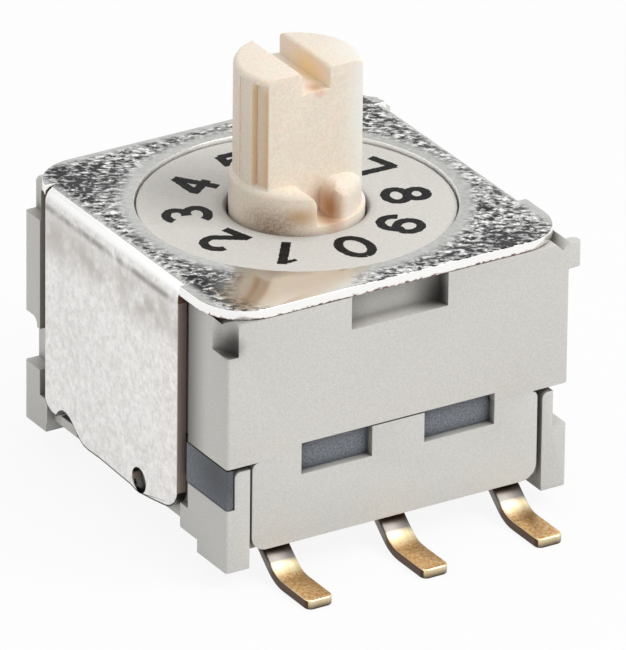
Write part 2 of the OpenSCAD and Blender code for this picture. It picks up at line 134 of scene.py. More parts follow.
def soft_patch(tree, position, middle, reach):
    """How strong a soft patch is at a point: 1 at its middle, 0 from its reach along each axis outwards."""
    away = add(tree, "ShaderNodeVectorMath", {0: position, 1: middle}, operation="SUBTRACT")
    away = add(tree, "ShaderNodeVectorMath", {0: away, 1: reach}, operation="DIVIDE")
    away = add(tree, "ShaderNodeVectorMath", {0: away}, operation="LENGTH")
    return add(tree, "ShaderNodeMapRange", {"Value": away, "From Min": 1, "From Max": 0},
               interpolation_type="SMOOTHSTEP")


def facings(tree, normal):
    """How far a surface faces along X, along Y and along Z, whichever way round."""
    facing = add(tree, "ShaderNodeVectorMath", {0: normal}, operation="ABSOLUTE")
    return add(tree, "ShaderNodeSeparateXYZ", {0: facing}).outputs


# The cover's flecks, painted reflections: noise at which dark and bright ones start and are full, lowered in
# the corners where the dark ones are dense
DARK_START, DARK_FULL = 0.49, 0.43
BRIGHT_START, BRIGHT_FULL = 0.55, 0.6
DENSE_FLECK_SHIFT = 0.09
DENSE_FLECK_CORNERS = [((-3.1, 2.8, COVER_TOP), (1.3, 1.5, 1)), ((-3.2, -2.3, COVER_TOP), (1.1, 1.3, 1)),
                ((2.4, -3.5, COVER_TOP), (1.5, 0.9, 1)), ((2.9, 3.0, COVER_TOP), (1.1, 1.1, 1))]
# A painted reflection of the shaft on the plate's front, where the flecks end: middle and half sizes in
# millimetres, and the share at which it is full
SHAFT_REFLECTION_PATCH = ((-1.9, -3.1, COVER_TOP), (1.9, 1.4, 1))
SHAFT_REFLECTION_FULL = 0.4

# Distances in millimetres from the opening, the back edge and the sides where flecks start and are full
RING_CALM, RING_FULL = 0.1, 0.45
BORDER_CALM, BORDER_FULL = 0.05, 0.25
FOLD_CALM, FOLD_FULL = 0.3 * FOLD_R, 1.1 * FOLD_R

# The painted white highlight on a fold: depth under the top in millimetres, and how far its surface has
# turned outwards
BEND_END, BEND_FULL = 0.85 * FOLD_R, 0.45 * FOLD_R
TURN_START, TURN_FULL = 0.38, 0.65
LEG_TURNED, LEG_UPRIGHT = 0.6, 0.97

# Bands across the legs: middle and half height in millimetres, and colour
LEG_BANDS = [(COVER_TOP - 0.9, 0.75, "c4beb9"), (COVER_TOP - 0.4, 0.13, "a39f9b")]
ANY_PLACE = 40 * COVER_SIDE  # so wide that a band runs all the way across

# Raggedness and softness of the brown line, a torn edge with painted shade of the gap below, and start and
# full height of the foot's dark line, a burr with painted shade, in millimetres
TORN_RAGGED, TORN_SOFT = 0.035, 0.03
BURR_AND_SHADE_START, BURR_AND_SHADE_FULL = 0.05, 0.025

# How far a cut edge may face up and must face along Y, and how far a surface faces down where painted shade
# on it starts and is full
UPRIGHT_LIMIT, ACROSS_LIMIT = 0.3, 0.05
UNDER_START, UNDER_FULL = -0.15, -0.3

# Roughness of the cover's polished plate, its legs and folds, its torn edges and the opening's rim
PLATE_ROUGHNESS, LEG_ROUGHNESS, TORN_ROUGHNESS, RIM_ROUGHNESS = 0.12, 0.36, 0.75, 0.6

# In millimetres: the height that a leg's foot lies below, and the place and radius of the hole just above it
FOOT_BELOW = 1.5
HOLE_PLACE, HOLE_R, HOLE_SLACK = (-0.64, 1.01), 0.25, 0.005


def flecked_share(tree, position, place, radius):
    """How freely the cover's painted reflection flecks show, and the share of the painted reflection of the
    shaft.

    They end beside the opening, the back edge and the folds, and under the painted reflection of the shaft on
    the front."""
    side = add(tree, "ShaderNodeMath", {0: place["X"]}, operation="ABSOLUTE")
    side = add(tree, "ShaderNodeMath", {0: COVER_SIDE, 1: side}, operation="SUBTRACT")
    back = add(tree, "ShaderNodeMath", {0: COVER_BACK, 1: place["Y"]}, operation="SUBTRACT")
    shaft_reflection = soft_patch(tree, position, *SHAFT_REFLECTION_PATCH)
    shaft_reflection = add(tree, "ShaderNodeMapRange", {"Value": shaft_reflection, "From Max": SHAFT_REFLECTION_FULL})
    share = add(tree, "ShaderNodeMath", {0: 1, 1: shaft_reflection}, operation="SUBTRACT")
    for distance, calm, full in ((radius, OPENING_R + RING_CALM, OPENING_R + RING_FULL),
                                 (back, BORDER_CALM, BORDER_FULL), (side, FOLD_CALM, FOLD_FULL)):
        clear = add(tree, "ShaderNodeMapRange", {"Value": distance, "From Min": calm, "From Max": full},
                    interpolation_type="SMOOTHSTEP")
        share = add(tree, "ShaderNodeMath", {0: share, 1: clear}, operation="MULTIPLY")
    return share, shaft_reflection


def plate_colour(tree, position, grain, flecked, shaft_reflection, mottle):
    """The cover's top: calm grey, broken into painted reflections as dark and bright flecks, the dark ones
    dense at the corners, with a painted reflection of the shaft on the front.
    """
    fleck = grain
    for middle, reach in DENSE_FLECK_CORNERS:
        denser = soft_patch(tree, position, middle, reach)
        denser = add(tree, "ShaderNodeMath", {0: denser, 1: DENSE_FLECK_SHIFT}, operation="MULTIPLY")
        fleck = add(tree, "ShaderNodeMath", {0: fleck, 1: denser}, operation="SUBTRACT")
    dark = add(tree, "ShaderNodeMapRange", {"Value": fleck, "From Min": DARK_START, "From Max": DARK_FULL})
    bright = add(tree, "ShaderNodeMapRange", {"Value": fleck, "From Min": BRIGHT_START,
                                              "From Max": BRIGHT_FULL})
    dark = add(tree, "ShaderNodeMath", {0: dark, 1: flecked}, operation="MULTIPLY")
    bright = add(tree, "ShaderNodeMath", {0: bright, 1: flecked}, operation="MULTIPLY")
    # The flecked grey, the dark and bright flecks and the warm patch before the shaft are painted
    # reflections; the mottle is the sheet's own tone
    colour = srgb("b3b3b0")
    for share, hex_colour in ((mottle, "c8c8c5"), (flecked, "a9a9a7"), (shaft_reflection, "dfdad4"), (dark, "1a1c20"),
                              (bright, "fafaf8")):
        colour = add(tree, "ShaderNodeMix", {"Factor": share, "A": colour, "B": srgb(hex_colour)},
                     data_type="RGBA")
    return colour


def leg_colour(tree, position, mottle):
    """The cover's legs: pale and mottled, with a blotchy darker band and a thin darker line under the fold.
    """
    colour = add(tree, "ShaderNodeMix", {"Factor": mottle, "A": srgb("d9d7d4"), "B": srgb("f3f2f0")},
                 data_type="RGBA")
    blotches = add(tree, "ShaderNodeTexNoise", {"Vector": position, "Scale": 1 / BLOTCH, "Detail": 3})
    blotches = add(tree, "ShaderNodeMapRange", {"Value": blotches, "From Min": PATCH_LOW,
                                                "From Max": PATCH_HIGH})
    for level, half_height, hex_colour in LEG_BANDS:
        band = soft_patch(tree, position, (0, 0, level), (ANY_PLACE, ANY_PLACE, half_height))
        band = add(tree, "ShaderNodeMath", {0: band, 1: blotches}, operation="MULTIPLY")
        colour = add(tree, "ShaderNodeMix", {"Factor": band, "A": colour, "B": srgb(hex_colour)},
                     data_type="RGBA")
    return colour


def cut_edges(tree, below, radius, facing, grain):
    """Shares of the sheet's outer cut edges, of the opening's rim, and of the outer edges' brown line, a torn
    edge with painted shade of the gap below.
    """
    upright = add(tree, "ShaderNodeMath", {0: facing["Z"], 1: UPRIGHT_LIMIT}, operation="LESS_THAN")
    across = add(tree, "ShaderNodeMath", {0: facing["Y"], 1: ACROSS_LIMIT}, operation="GREATER_THAN")
    outside = add(tree, "ShaderNodeMath", {0: radius, 1: OPENING_R + RING_CALM}, operation="GREATER_THAN")
    rim = add(tree, "ShaderNodeMath", {0: upright, 1: outside}, operation="GREATER_THAN")
    outer = add(tree, "ShaderNodeMath", {0: upright, 1: across}, operation="MULTIPLY")
    outer = add(tree, "ShaderNodeMath", {0: outer, 1: outside}, operation="MULTIPLY")
    start = add(tree, "ShaderNodeMapRange", {"Value": below, "From Min": SHEET, "From Max": 2 * SHEET,
                                             "To Min": SHEET - TORN_RAGGED, "To Max": -SHEET})
    ragged = add(tree, "ShaderNodeMapRange", {"Value": grain, "From Min": SOFT_LOW, "From Max": SOFT_HIGH,
                                              "To Min": -TORN_RAGGED, "To Max": TORN_RAGGED})
    depth = add(tree, "ShaderNodeMath", {0: below, 1: ragged}, operation="ADD")
    depth = add(tree, "ShaderNodeMath", {0: depth, 1: start}, operation="SUBTRACT")
    torn_and_shade = add(tree, "ShaderNodeMapRange", {"Value": depth, "From Min": 0, "From Max": TORN_SOFT})
    torn_and_shade = add(tree, "ShaderNodeMath", {0: torn_and_shade, 1: outer}, operation="MULTIPLY")
    return outer, rim, torn_and_shade


def leg_foot():
    """A leg's wavy foot on the CAD cover, from front to back: how far back and how high each corner is."""
    corners = [vertex.co / MM for vertex in nodes["cover"].data.vertices]
    outer = {(round(y, 3), round(z, 3)) for x, y, z in corners if x > COVER_SIDE - SHEET / 2}
    return sorted(corner for corner in outer
                  if corner[1] < FOOT_BELOW and math.dist(corner, HOLE_PLACE) > HOLE_R + HOLE_SLACK)


def foot_burr(tree, place, down):
    """A dark line along the wavy foot of a leg, a burr with painted shade, and painted shade on what faces
    down.
    """
    foot = leg_foot()
    front, back = foot[0][0], foot[-1][0]
    along = add(tree, "ShaderNodeMapRange", {"Value": place["Y"], "From Min": front, "From Max": back})
    edge = add(tree, "ShaderNodeFloatCurve", {"Value": along})
    edge.mapping.use_clip = False
    points = edge.mapping.curves[0].points
    for behind, height in foot[1:-1]:
        points.new((behind - front) / (back - front), height)
    points[0].location = (0, foot[0][1])
    points[-1].location = (1, foot[-1][1])
    for point in points:
        point.handle_type = "VECTOR"
    edge.mapping.update()
    above = add(tree, "ShaderNodeMath", {0: place["Z"], 1: edge}, operation="SUBTRACT")
    burr = add(tree, "ShaderNodeMapRange", {"Value": above, "From Min": BURR_AND_SHADE_START, "From Max": BURR_AND_SHADE_FULL})
    under = add(tree, "ShaderNodeMapRange", {"Value": down, "From Min": UNDER_START, "From Max": UNDER_FULL})
    return add(tree, "ShaderNodeMath", {0: burr, 1: under}, operation="MAXIMUM")


def rolled_stainless_sheet():
    """Bright rolled stainless steel, folded after blanking.

    The top is covered with short dark and bright flecks, painted reflections in its rolled grain, dense at
    the corners and calm beside the punched opening and the folds, with a painted reflection of the shaft on
    the front;
    the folds carry a painted white highlight; the legs are mottled, with darker bands under the fold; the cut
    edges carry a painted white highlight, with a brown line away from the punch, a torn edge with painted
    shade of the gap below, and a dark line at the legs' feet, a burr with painted shade, with painted shade
    on what faces down."""
    made, tree, shader, position = material("rolled_stainless_sheet", PLATE_ROUGHNESS, metallic=1)
    place = add(tree, "ShaderNodeSeparateXYZ", {0: position}).outputs
    below = add(tree, "ShaderNodeMath", {0: COVER_TOP, 1: place["Z"]}, operation="SUBTRACT")
    radius = add(tree, "ShaderNodeVectorMath", {0: position, 1: (1, 1, 0)}, operation="MULTIPLY")
    radius = add(tree, "ShaderNodeVectorMath", {0: radius}, operation="LENGTH")
    normal = add(tree, "ShaderNodeNewGeometry").outputs["True Normal"]
    facing = facings(tree, normal)
    down = add(tree, "ShaderNodeSeparateXYZ", {0: normal}).outputs["Z"]

    lie = add(tree, "ShaderNodeMapping", {"Vector": position, "Rotation": (0, 0, AZIMUTH),
                                          "Scale": (FLECK_LENGTH, FLECK_WIDTH, FLECK_WIDTH)},
              vector_type="TEXTURE")
    grain = add(tree, "ShaderNodeTexNoise", {"Vector": lie, "Scale": 1, "Detail": 3, "Roughness": 0.6,
                                             "Distortion": 0.4})
    mottle = add(tree, "ShaderNodeTexNoise", {"Vector": position, "Scale": 1 / SHEET_MOTTLE, "Detail": 4,
                                              "Roughness": 0.7})
    mottle = add(tree, "ShaderNodeMapRange", {"Value": mottle, "From Min": CRISP_LOW, "From Max": CRISP_HIGH})
    flecked, shaft_reflection = flecked_share(tree, position, place, radius)
    plate = plate_colour(tree, position, grain, flecked, shaft_reflection, mottle)

    leg = add(tree, "ShaderNodeMapRange", {"Value": facing["X"], "From Min": LEG_TURNED,
                                           "From Max": LEG_UPRIGHT})
    colour = add(tree, "ShaderNodeMix", {"Factor": leg, "A": plate, "B": leg_colour(tree, position, mottle)},
                 data_type="RGBA")
    # A painted white highlight on the outer bend of each fold
    fold_highlight = add(tree, "ShaderNodeMapRange", {"Value": below, "From Min": BEND_END, "From Max": BEND_FULL},
               interpolation_type="SMOOTHSTEP")
    turned = add(tree, "ShaderNodeMapRange", {"Value": facing["X"], "From Min": TURN_START,
                                              "From Max": TURN_FULL})
    fold_highlight = add(tree, "ShaderNodeMath", {0: fold_highlight, 1: turned}, operation="MULTIPLY")

    outer, rim, torn_and_shade = cut_edges(tree, below, radius, facing, grain)
    # A painted white highlight on the outer cut edges and the opening's rim
    cut_edge_highlight = add(tree, "ShaderNodeMath", {0: outer, 1: rim}, operation="MAXIMUM")
    # The brown line, a torn edge with painted shade of the gap below, darker high on the sheet than low on
    # the legs
    low = add(tree, "ShaderNodeMath", {0: below, 1: 2 * SHEET}, operation="GREATER_THAN")
    brown = add(tree, "ShaderNodeMix", {"Factor": low, "A": srgb("8a6a5c"), "B": srgb("b5a59e")},
                data_type="RGBA")
    # A dark line at the legs' feet, a burr with painted shade, and painted shade on what faces down
    burr = foot_burr(tree, place, down)
    burr = add(tree, "ShaderNodeMath", {0: burr, 1: low}, operation="MULTIPLY")
    # Painted highlights on the folds and cut edges, the brown line, a torn edge with painted shade, and the
    # dark foot line, a burr with painted shade
    for share, layer in ((fold_highlight, srgb("fbfbf9")), (cut_edge_highlight, srgb("fbfaf8")), (torn_and_shade, brown),
                         (burr, srgb("3e3a38"))):
        colour = add(tree, "ShaderNodeMix", {"Factor": share, "A": colour, "B": layer}, data_type="RGBA")

    rough = add(tree, "ShaderNodeMath", {0: leg, 1: fold_highlight}, operation="MAXIMUM")
    rough = add(tree, "ShaderNodeMapRange", {"Value": rough, "To Min": PLATE_ROUGHNESS,
                                             "To Max": LEG_ROUGHNESS})
    for share, matte in ((torn_and_shade, TORN_ROUGHNESS), (rim, RIM_ROUGHNESS)):
        rough = add(tree, "ShaderNodeMix", {"Factor": share, "A": rough, "B": matte}, data_type="FLOAT")
    height = add(tree, "ShaderNodeMath", {0: grain, 1: flecked}, operation="MULTIPLY")
    relief = add(tree, "ShaderNodeBump", {"Height": height, "Distance": ROLLING_RELIEF * MM})
    feed(tree, shader, {"Base Color": colour, "Roughness": rough, "Normal": relief})
    return made


# Painted shade: middle and half sizes in millimetres, colour, and whether only hollows get it
ANY_HEIGHT = 40  # so tall that a painted shade runs from the bottom to the top
HOUSING_PAINTED_SHADE = [((-3.58, -3.6, 5.0), (0.7, 0.7, 1.0), "161412", 1),
                ((-3.58, -3.6, 5.04), (0.34, 0.34, 0.38), "4c4844", 0),
                ((1.12, -3.5, 5.0), (1.0, 0.5, 0.75), "4a4743", 1),
                ((-3.76, -2.1, 4), (0.4, 1.0, ANY_HEIGHT), "494643", 0),
                ((3.76, -2.1, 4), (0.4, 1.0, ANY_HEIGHT), "494643", 0)]
CARRIER_PAINTED_SHADE = [((-3.5, -3.3, 2.3), (1.3, 1.5, 1.3), "43474d", 0)]

# Painted shade in hollows: how far around a point to look, in millimetres, and the open share at which it
# starts and is full
SHADED_HOLLOW = 0.6, 0.85, 0.32
SHELTERED = 0.6, 0.98, 0.8


def moulded_plastic(name, dark, pale, speck, hollow_shade, painted_shade=()):
    """Glass-filled polymer from a spark-eroded mould: matte, with fine grain that scatters tiny lights and
    darks, painted shade in slits and recesses, which makes them read as deep, and painted shade at listed
    places."""
    made, tree, shader, position = material(name, 0.55)
    grain = add(tree, "ShaderNodeTexNoise", {"Vector": position, "Scale": 1 / speck, "Detail": 4,
                                             "Roughness": 0.7})
    tone = add(tree, "ShaderNodeMapRange", {"Value": grain, "From Min": CRISP_LOW, "From Max": CRISP_HIGH})
    layers = [(tone, pale), (hollows(tree, *SHADED_HOLLOW), hollow_shade)]
    sheltered = hollows(tree, *SHELTERED)
    # Each listed painted shade, only in hollows or everywhere within its reach
    for middle, reach, hex_colour, hollows_only in painted_shade:
        shade_share = add(tree, "ShaderNodeMapRange", {"Value": sheltered, "To Min": 1 - hollows_only})
        shade_share = add(tree, "ShaderNodeMath", {0: shade_share, 1: soft_patch(tree, position, middle, reach)},
                     operation="MULTIPLY")
        layers.append((shade_share, hex_colour))
    colour = srgb(dark)
    for share, hex_colour in layers:
        colour = add(tree, "ShaderNodeMix", {"Factor": share, "A": colour, "B": srgb(hex_colour)},
                     data_type="RGBA")
    relief = add(tree, "ShaderNodeBump", {"Height": grain, "Distance": MOULD_RELIEF * MM})
    feed(tree, shader, {"Base Color": colour, "Normal": relief})
    return made


# Painted light and shade on the translucent shaft, an amber glow and shade in its slot and pointer notch,
# shade on the left of the collar and a highlight on its right side: middle and half sizes in millimetres, and
# colour
SHAFT_PAINTED_LIGHT = [((0.31, 0.1, 8.38), (0.35, 0.9, 0.45), "fddcae"),
               ((0.08, -0.5, 8.2), (0.26, 0.3, 0.2), "d3ab83"),
               ((0.07, -1.05, 5.95), (0.4, 0.7, 0.7), "b07a46"),
               ((-0.62, -1.2, 5.97), (0.5, 0.5, 0.28), "d9b78e"),
               ((1.3, -0.5, 7.6), (0.9, 1.6, 3.2), "fffdf8")]
# Painted shade at the foot of the collar on its left front, broken by the grain: middle and half sizes in
# millimetres, and its least strength
SHADED_COLLAR = ((-1.15, -0.9, 5.7), (0.95, 1.0, 0.62))
COLLAR_SHADE_LEAST = 0.6

# The flutes' painted amber glow, in millimetres: its width on a step, its start behind the flat, its fade
# under the top, and how far inside the flutes' floor it is still drawn
FLUTE_GLOW, FLUTE_BEHIND, FLUTE_FADE, FLUTE_SLACK = 0.2, 0.1, 0.25, 0.02

# Light inside the acetal: its share, how far red, green and blue travel, and the depth in millimetres
GLOW_SHARE, GLOW_COLOURS, GLOW_DEPTH = 0.6, (1, 0.55, 0.28), 0.1


def flute_glow(tree, position):
    """How strong the painted amber glow is on the thin walls and steps of the flutes beside the shaft's flat.
    """
    place = add(tree, "ShaderNodeSeparateXYZ", {0: position}).outputs
    out = add(tree, "ShaderNodeMath", {0: place["X"]}, operation="ABSOLUTE")
    facing = facings(tree, add(tree, "ShaderNodeTexCoord").outputs["Normal"])
    wall = add(tree, "ShaderNodeMapRange", {"Value": place["Y"], "From Min": FLUTE_BACK,
                                            "From Max": FLUTE_FRONT})
    wall = add(tree, "ShaderNodeMath", {0: wall, 1: facing["X"]}, operation="MULTIPLY")
    step = add(tree, "ShaderNodeMapRange", {"Value": out, "From Min": FLUTE_IN + FLUTE_GLOW,
                                            "From Max": FLUTE_IN})
    behind = add(tree, "ShaderNodeMath", {0: place["Y"], 1: FLUTE_FRONT + FLUTE_BEHIND},
                 operation="GREATER_THAN")
    step = add(tree, "ShaderNodeMath", {0: step, 1: facing["Y"]}, operation="MULTIPLY")
    step = add(tree, "ShaderNodeMath", {0: step, 1: behind}, operation="MULTIPLY")
    glow = add(tree, "ShaderNodeMath", {0: wall, 1: step}, operation="MAXIMUM")
    foot = add(tree, "ShaderNodeMath", {0: place["Z"], 1: FLUTE_FOOT}, operation="GREATER_THAN")
    head = add(tree, "ShaderNodeMapRange", {"Value": place["Z"], "From Min": FLUTE_TOP,
                                            "From Max": FLUTE_TOP - FLUTE_FADE})
    outer = add(tree, "ShaderNodeMath", {0: out, 1: FLUTE_IN - FLUTE_SLACK}, operation="GREATER_THAN")
    for share in (foot, head, outer):
        glow = add(tree, "ShaderNodeMath", {0: glow, 1: share}, operation="MULTIPLY")
    return glow


def natural_acetal():
    """Unpigmented acetal, moulded: ivory, satin and translucent, with a painted amber glow in its slot, its
    pointer notch and the edges of its flutes, painted shade at the foot of the collar and a painted highlight
    on its right side."""
    made, tree, shader, position = material("natural_acetal", 0.42)
    grain = add(tree, "ShaderNodeTexNoise", {"Vector": position, "Scale": 1 / ACETAL_GRAIN, "Detail": 4})
    tone = add(tree, "ShaderNodeMapRange", {"Value": grain, "From Min": SOFT_LOW, "From Max": SOFT_HIGH})
    painted_light = [(soft_patch(tree, position, middle, reach), hex_colour) for middle, reach, hex_colour in SHAFT_PAINTED_LIGHT]
    collar_shade = add(tree, "ShaderNodeMapRange", {"Value": grain, "From Min": PATCH_LOW, "From Max": PATCH_HIGH,
                                             "To Min": 1, "To Max": COLLAR_SHADE_LEAST})
    collar_place = soft_patch(tree, position, *SHADED_COLLAR)
    collar_shade = add(tree, "ShaderNodeMath", {0: collar_shade, 1: collar_place}, operation="MULTIPLY")
    colour = srgb("f1e1ce")
    for share, hex_colour in ((tone, "fcf0e2"), *painted_light, (collar_shade, "906e4e"),
                              (flute_glow(tree, position), "e2c197")):
        colour = add(tree, "ShaderNodeMix", {"Factor": share, "A": colour, "B": srgb(hex_colour)},
                     data_type="RGBA")
    relief = add(tree, "ShaderNodeBump", {"Height": grain, "Distance": SATIN_RELIEF * MM})
    feed(tree, shader, {"Base Color": colour, "Normal": relief, "Subsurface Weight": GLOW_SHARE,
                        "Subsurface Radius": GLOW_COLOURS, "Subsurface Scale": GLOW_DEPTH * MM})
    return made


# The terminals: how level a foot is where its painted reflection starts and is full, how sideways a sheared
# edge is, the reach in millimetres of the painted shade at the root, and the painted shade in the hollow at
# the root, in the same terms as the plastics' painted shade
FOOT_TILTED, FOOT_LEVEL = 0.92, 0.99
SHEARED_LIMIT = 0.8
ROOT_SHADE_END, ROOT_SHADE_FULL = 0.14, 0.02
DARK_ROOT = 0.5, 0.85, 0.45


def gold_plated_strip():
    """Gold flash over nickel on rolled strip, drawn in fine lines: pale and bright on the slope, partly a
    painted highlight, and darker, orange and speckled on the level foot, a painted reflection; its sheared
    sides left dark, its root darkened by painted shade."""
    made, tree, shader, position = material("gold_plated_strip", 0.34, metallic=1)
    drawn = add(tree, "ShaderNodeMapping", {"Vector": position, "Scale": (1 / DRAWN_LINE, 1 / DRAWN_LENGTH,
                                                                         1 / DRAWN_LENGTH)})
    lines = add(tree, "ShaderNodeTexNoise", {"Vector": drawn, "Scale": 1, "Detail": 4})
    tone = add(tree, "ShaderNodeMapRange", {"Value": lines, "From Min": CRISP_LOW, "From Max": CRISP_HIGH})
    # The slope's pale bright gold, partly a painted highlight
    plated = add(tree, "ShaderNodeMix", {"Factor": tone, "A": srgb("f8dca6"), "B": srgb("fff2d0")},
                 data_type="RGBA")
    # A darker, orange, speckled painted reflection on the level foot
    spots = add(tree, "ShaderNodeTexNoise", {"Vector": position, "Scale": 1 / FOOT_REFLECTION_SPOT, "Detail": 4,
                                             "Roughness": 0.7})
    spots = add(tree, "ShaderNodeMapRange", {"Value": spots, "From Min": SPOT_LOW, "From Max": SPOT_HIGH})
    foot_reflection = add(tree, "ShaderNodeMix", {"Factor": spots, "A": srgb("dea264"), "B": srgb("ffdca4")},
                  data_type="RGBA")

    facing = facings(tree, add(tree, "ShaderNodeNewGeometry").outputs["True Normal"])
    flat = add(tree, "ShaderNodeMapRange", {"Value": facing["Z"], "From Min": FOOT_TILTED,
                                            "From Max": FOOT_LEVEL})
    colour = add(tree, "ShaderNodeMix", {"Factor": flat, "A": plated, "B": foot_reflection}, data_type="RGBA")
    sheared = add(tree, "ShaderNodeMath", {0: facing["X"], 1: SHEARED_LIMIT}, operation="GREATER_THAN")
    place = add(tree, "ShaderNodeSeparateXYZ", {0: position}).outputs
    out = add(tree, "ShaderNodeMath", {0: place["Y"]}, operation="ABSOLUTE")
    # Painted shade on the root just under the body
    root = add(tree, "ShaderNodeMapRange", {"Value": out, "From Min": BODY_FACE + ROOT_SHADE_END,
                                            "From Max": BODY_FACE + ROOT_SHADE_FULL})
    # Painted shade in the hollow at the root
    inside = hollows(tree, *DARK_ROOT)
    for share, hex_colour in ((sheared, "5a4230"), (root, "7a7672"), (inside, "4a3c34")):
        colour = add(tree, "ShaderNodeMix", {"Factor": share, "A": colour, "B": srgb(hex_colour)},
                     data_type="RGBA")
    relief = add(tree, "ShaderNodeBump", {"Height": lines, "Distance": SATIN_RELIEF * MM})
    feed(tree, shader, {"Base Color": colour, "Normal": relief})
    return made


def seal_rubber():
    """Black nitrile rubber, moulded: soft black with a dull bloom."""
    made, tree, shader, position = material("seal_rubber", 0.6)
    bloom = add(tree, "ShaderNodeTexNoise", {"Vector": position, "Scale": 1 / RUBBER_GRAIN})
    colour = add(tree, "ShaderNodeMix", {"Factor": bloom, "A": srgb("191919"), "B": srgb("2a2a2a")},
                 data_type="RGBA")
    feed(tree, shader, {"Base Color": colour})
    return made


def pad_ink():
    """Charcoal ink laid on by a printing pad: matte near-black, thinner in small worn spots."""
    made, tree, shader, position = material("pad_ink", 0.6)
    wear = add(tree, "ShaderNodeTexNoise", {"Vector": position, "Scale": 1 / INK_WEAR, "Detail": 3})
    tone = add(tree, "ShaderNodeMapRange", {"Value": wear, "From Min": WORN_LOW, "From Max": WORN_HIGH})
    colour = add(tree, "ShaderNodeMix", {"Factor": tone, "A": srgb("0e0d0d"), "B": srgb("2e2c2a")},
                 data_type="RGBA")
    feed(tree, shader, {"Base Color": colour, "Specular IOR Level": 0.15})
    return made


# Softened edges: weld in millimetres, angle up to which faces merge, and angle from which edges are rounded
WELD_REACH = 0.0005
FLAT_ANGLE, SHARP_ANGLE = math.radians(0.5), math.radians(30)
EDGE_STEPS = 3


def dress(node, finish, edge_mm):
    """Gives a CAD node its material and softens its edges to a real radius."""
    piece = nodes[node]
    for place in piece.material_slots:
        place.material = finish
    for polygon in piece.data.polygons:
        polygon.use_smooth = True
    weld = piece.modifiers.new("weld", "WELD")
    weld.merge_threshold = WELD_REACH * MM
    flats = piece.modifiers.new("flats", "DECIMATE")
    flats.decimate_type = "DISSOLVE"
    flats.angle_limit = FLAT_ANGLE
    edges = piece.modifiers.new("edges", "BEVEL")
    edges.width = edge_mm * MM
    edges.segments = EDGE_STEPS
    edges.limit_method = "ANGLE"
    edges.angle_limit = SHARP_ANGLE
    edges.harden_normals = True


def dress_pieces():
    """The material and edge radius of each piece."""
    steel = rolled_stainless_sheet()
    gold = gold_plated_strip()
    # After the name, two colours and the grain size come the painted shade in hollows and the listed painted
    # shade
    housing = moulded_plastic("moulded_housing_polymer", "cfccc6", "dddbd6", MOULD_GRAIN, "7d7a75",
                              HOUSING_PAINTED_SHADE)
    base = moulded_plastic("moulded_base_polymer", "cdccc7", "dbdad6", MOULD_GRAIN, "7d7a75")
    carrier = moulded_plastic("dark_carrier_polymer", "555b63", "8b9097", FILLER_SPECK, "34373c",
                              CARRIER_PAINTED_SHADE)
    dress("cover", steel, 0.04)
    dress("housing", housing, 0.055)
    dress("base", base, 0.035)
    dress("contact_block", carrier, 0.02)
    dress("shaft", natural_acetal(), 0.06)
    dress("wiper", gold, 0.01)
    dress("o_ring", seal_rubber(), 0.01)
    dress("detent_spring", steel, 0.01)
    for row in ("front", "back"):
        for place in ("left", "middle", "right"):
            dress(f"terminal_{row}_{place}", gold, 0.03)


# The printed numbers, in millimetres; each stroke lies a little higher than the one before it
NUMBER_RING = 2.13
LINE_WIDTH, THIN_LINE = 0.185, 0.1
LINE_STEP = 0.035
RAGGEDNESS = 0.009
INK_THICKNESS = 0.004
FIRST_STROKE, STROKE_RISE = 0.6, 0.1  # in thicknesses of the ink
FLAG_OF_ONE = ("1", 1)  # a number and its thin stroke
ARC_STEP = 9  # degrees


def arc(x, y, across, up, start, end):
    """Points of an elliptical arc between two angles in degrees."""
    steps = max(4, round(abs(end - start) / ARC_STEP))
    angles = [math.radians(start + (end - start) * k / steps) for k in range(steps + 1)]
    return [(x + across * math.cos(a), y + up * math.sin(a)) for a in angles]


NINE = [arc(0, 0.17, 0.255, 0.23, -15, 345), arc(-0.02, -0.1, 0.275, 0.3, 55, -165)]

# The strokes of each number in millimetres about its middle, its top upwards; the 6 is the 9 turned round
NUMBERS = {
    "0": [arc(0, 0, 0.28, 0.4, 90, 450)],
    "1": [[(0.05, 0.49), (0.05, -0.47)], [(0.05, 0.42), (-0.06, 0.38), (-0.2, 0.27)]],
    "2": [arc(0, 0.15, 0.26, 0.25, 165, -35) + [(-0.26, -0.39)], [(-0.33, -0.4), (0.3, -0.4)]],
    "3": [arc(-0.02, 0.2, 0.24, 0.2, 150, -95), arc(-0.02, -0.19, 0.27, 0.21, 95, -155)],
    "4": [[(0.12, 0.44), (-0.27, -0.13)], [(-0.34, -0.15), (0.3, -0.15)], [(0.12, 0.46), (0.12, -0.46)]],
    "5": [[(0.25, 0.4), (-0.2, 0.4)], [(-0.19, 0.44), (-0.22, -0.02)],
          arc(-0.01, -0.13, 0.26, 0.27, 130, -145)],
    "6": [[(-x, -y) for x, y in line] for line in NINE],
    "7": [[(-0.33, 0.4), (0.3, 0.4)], [(0.27, 0.44), (-0.06, -0.46)]],
    "8": [arc(0, 0.21, 0.21, 0.19, 90, 450), arc(0, -0.19, 0.27, 0.21, 90, 450)],
    "9": NINE,
}


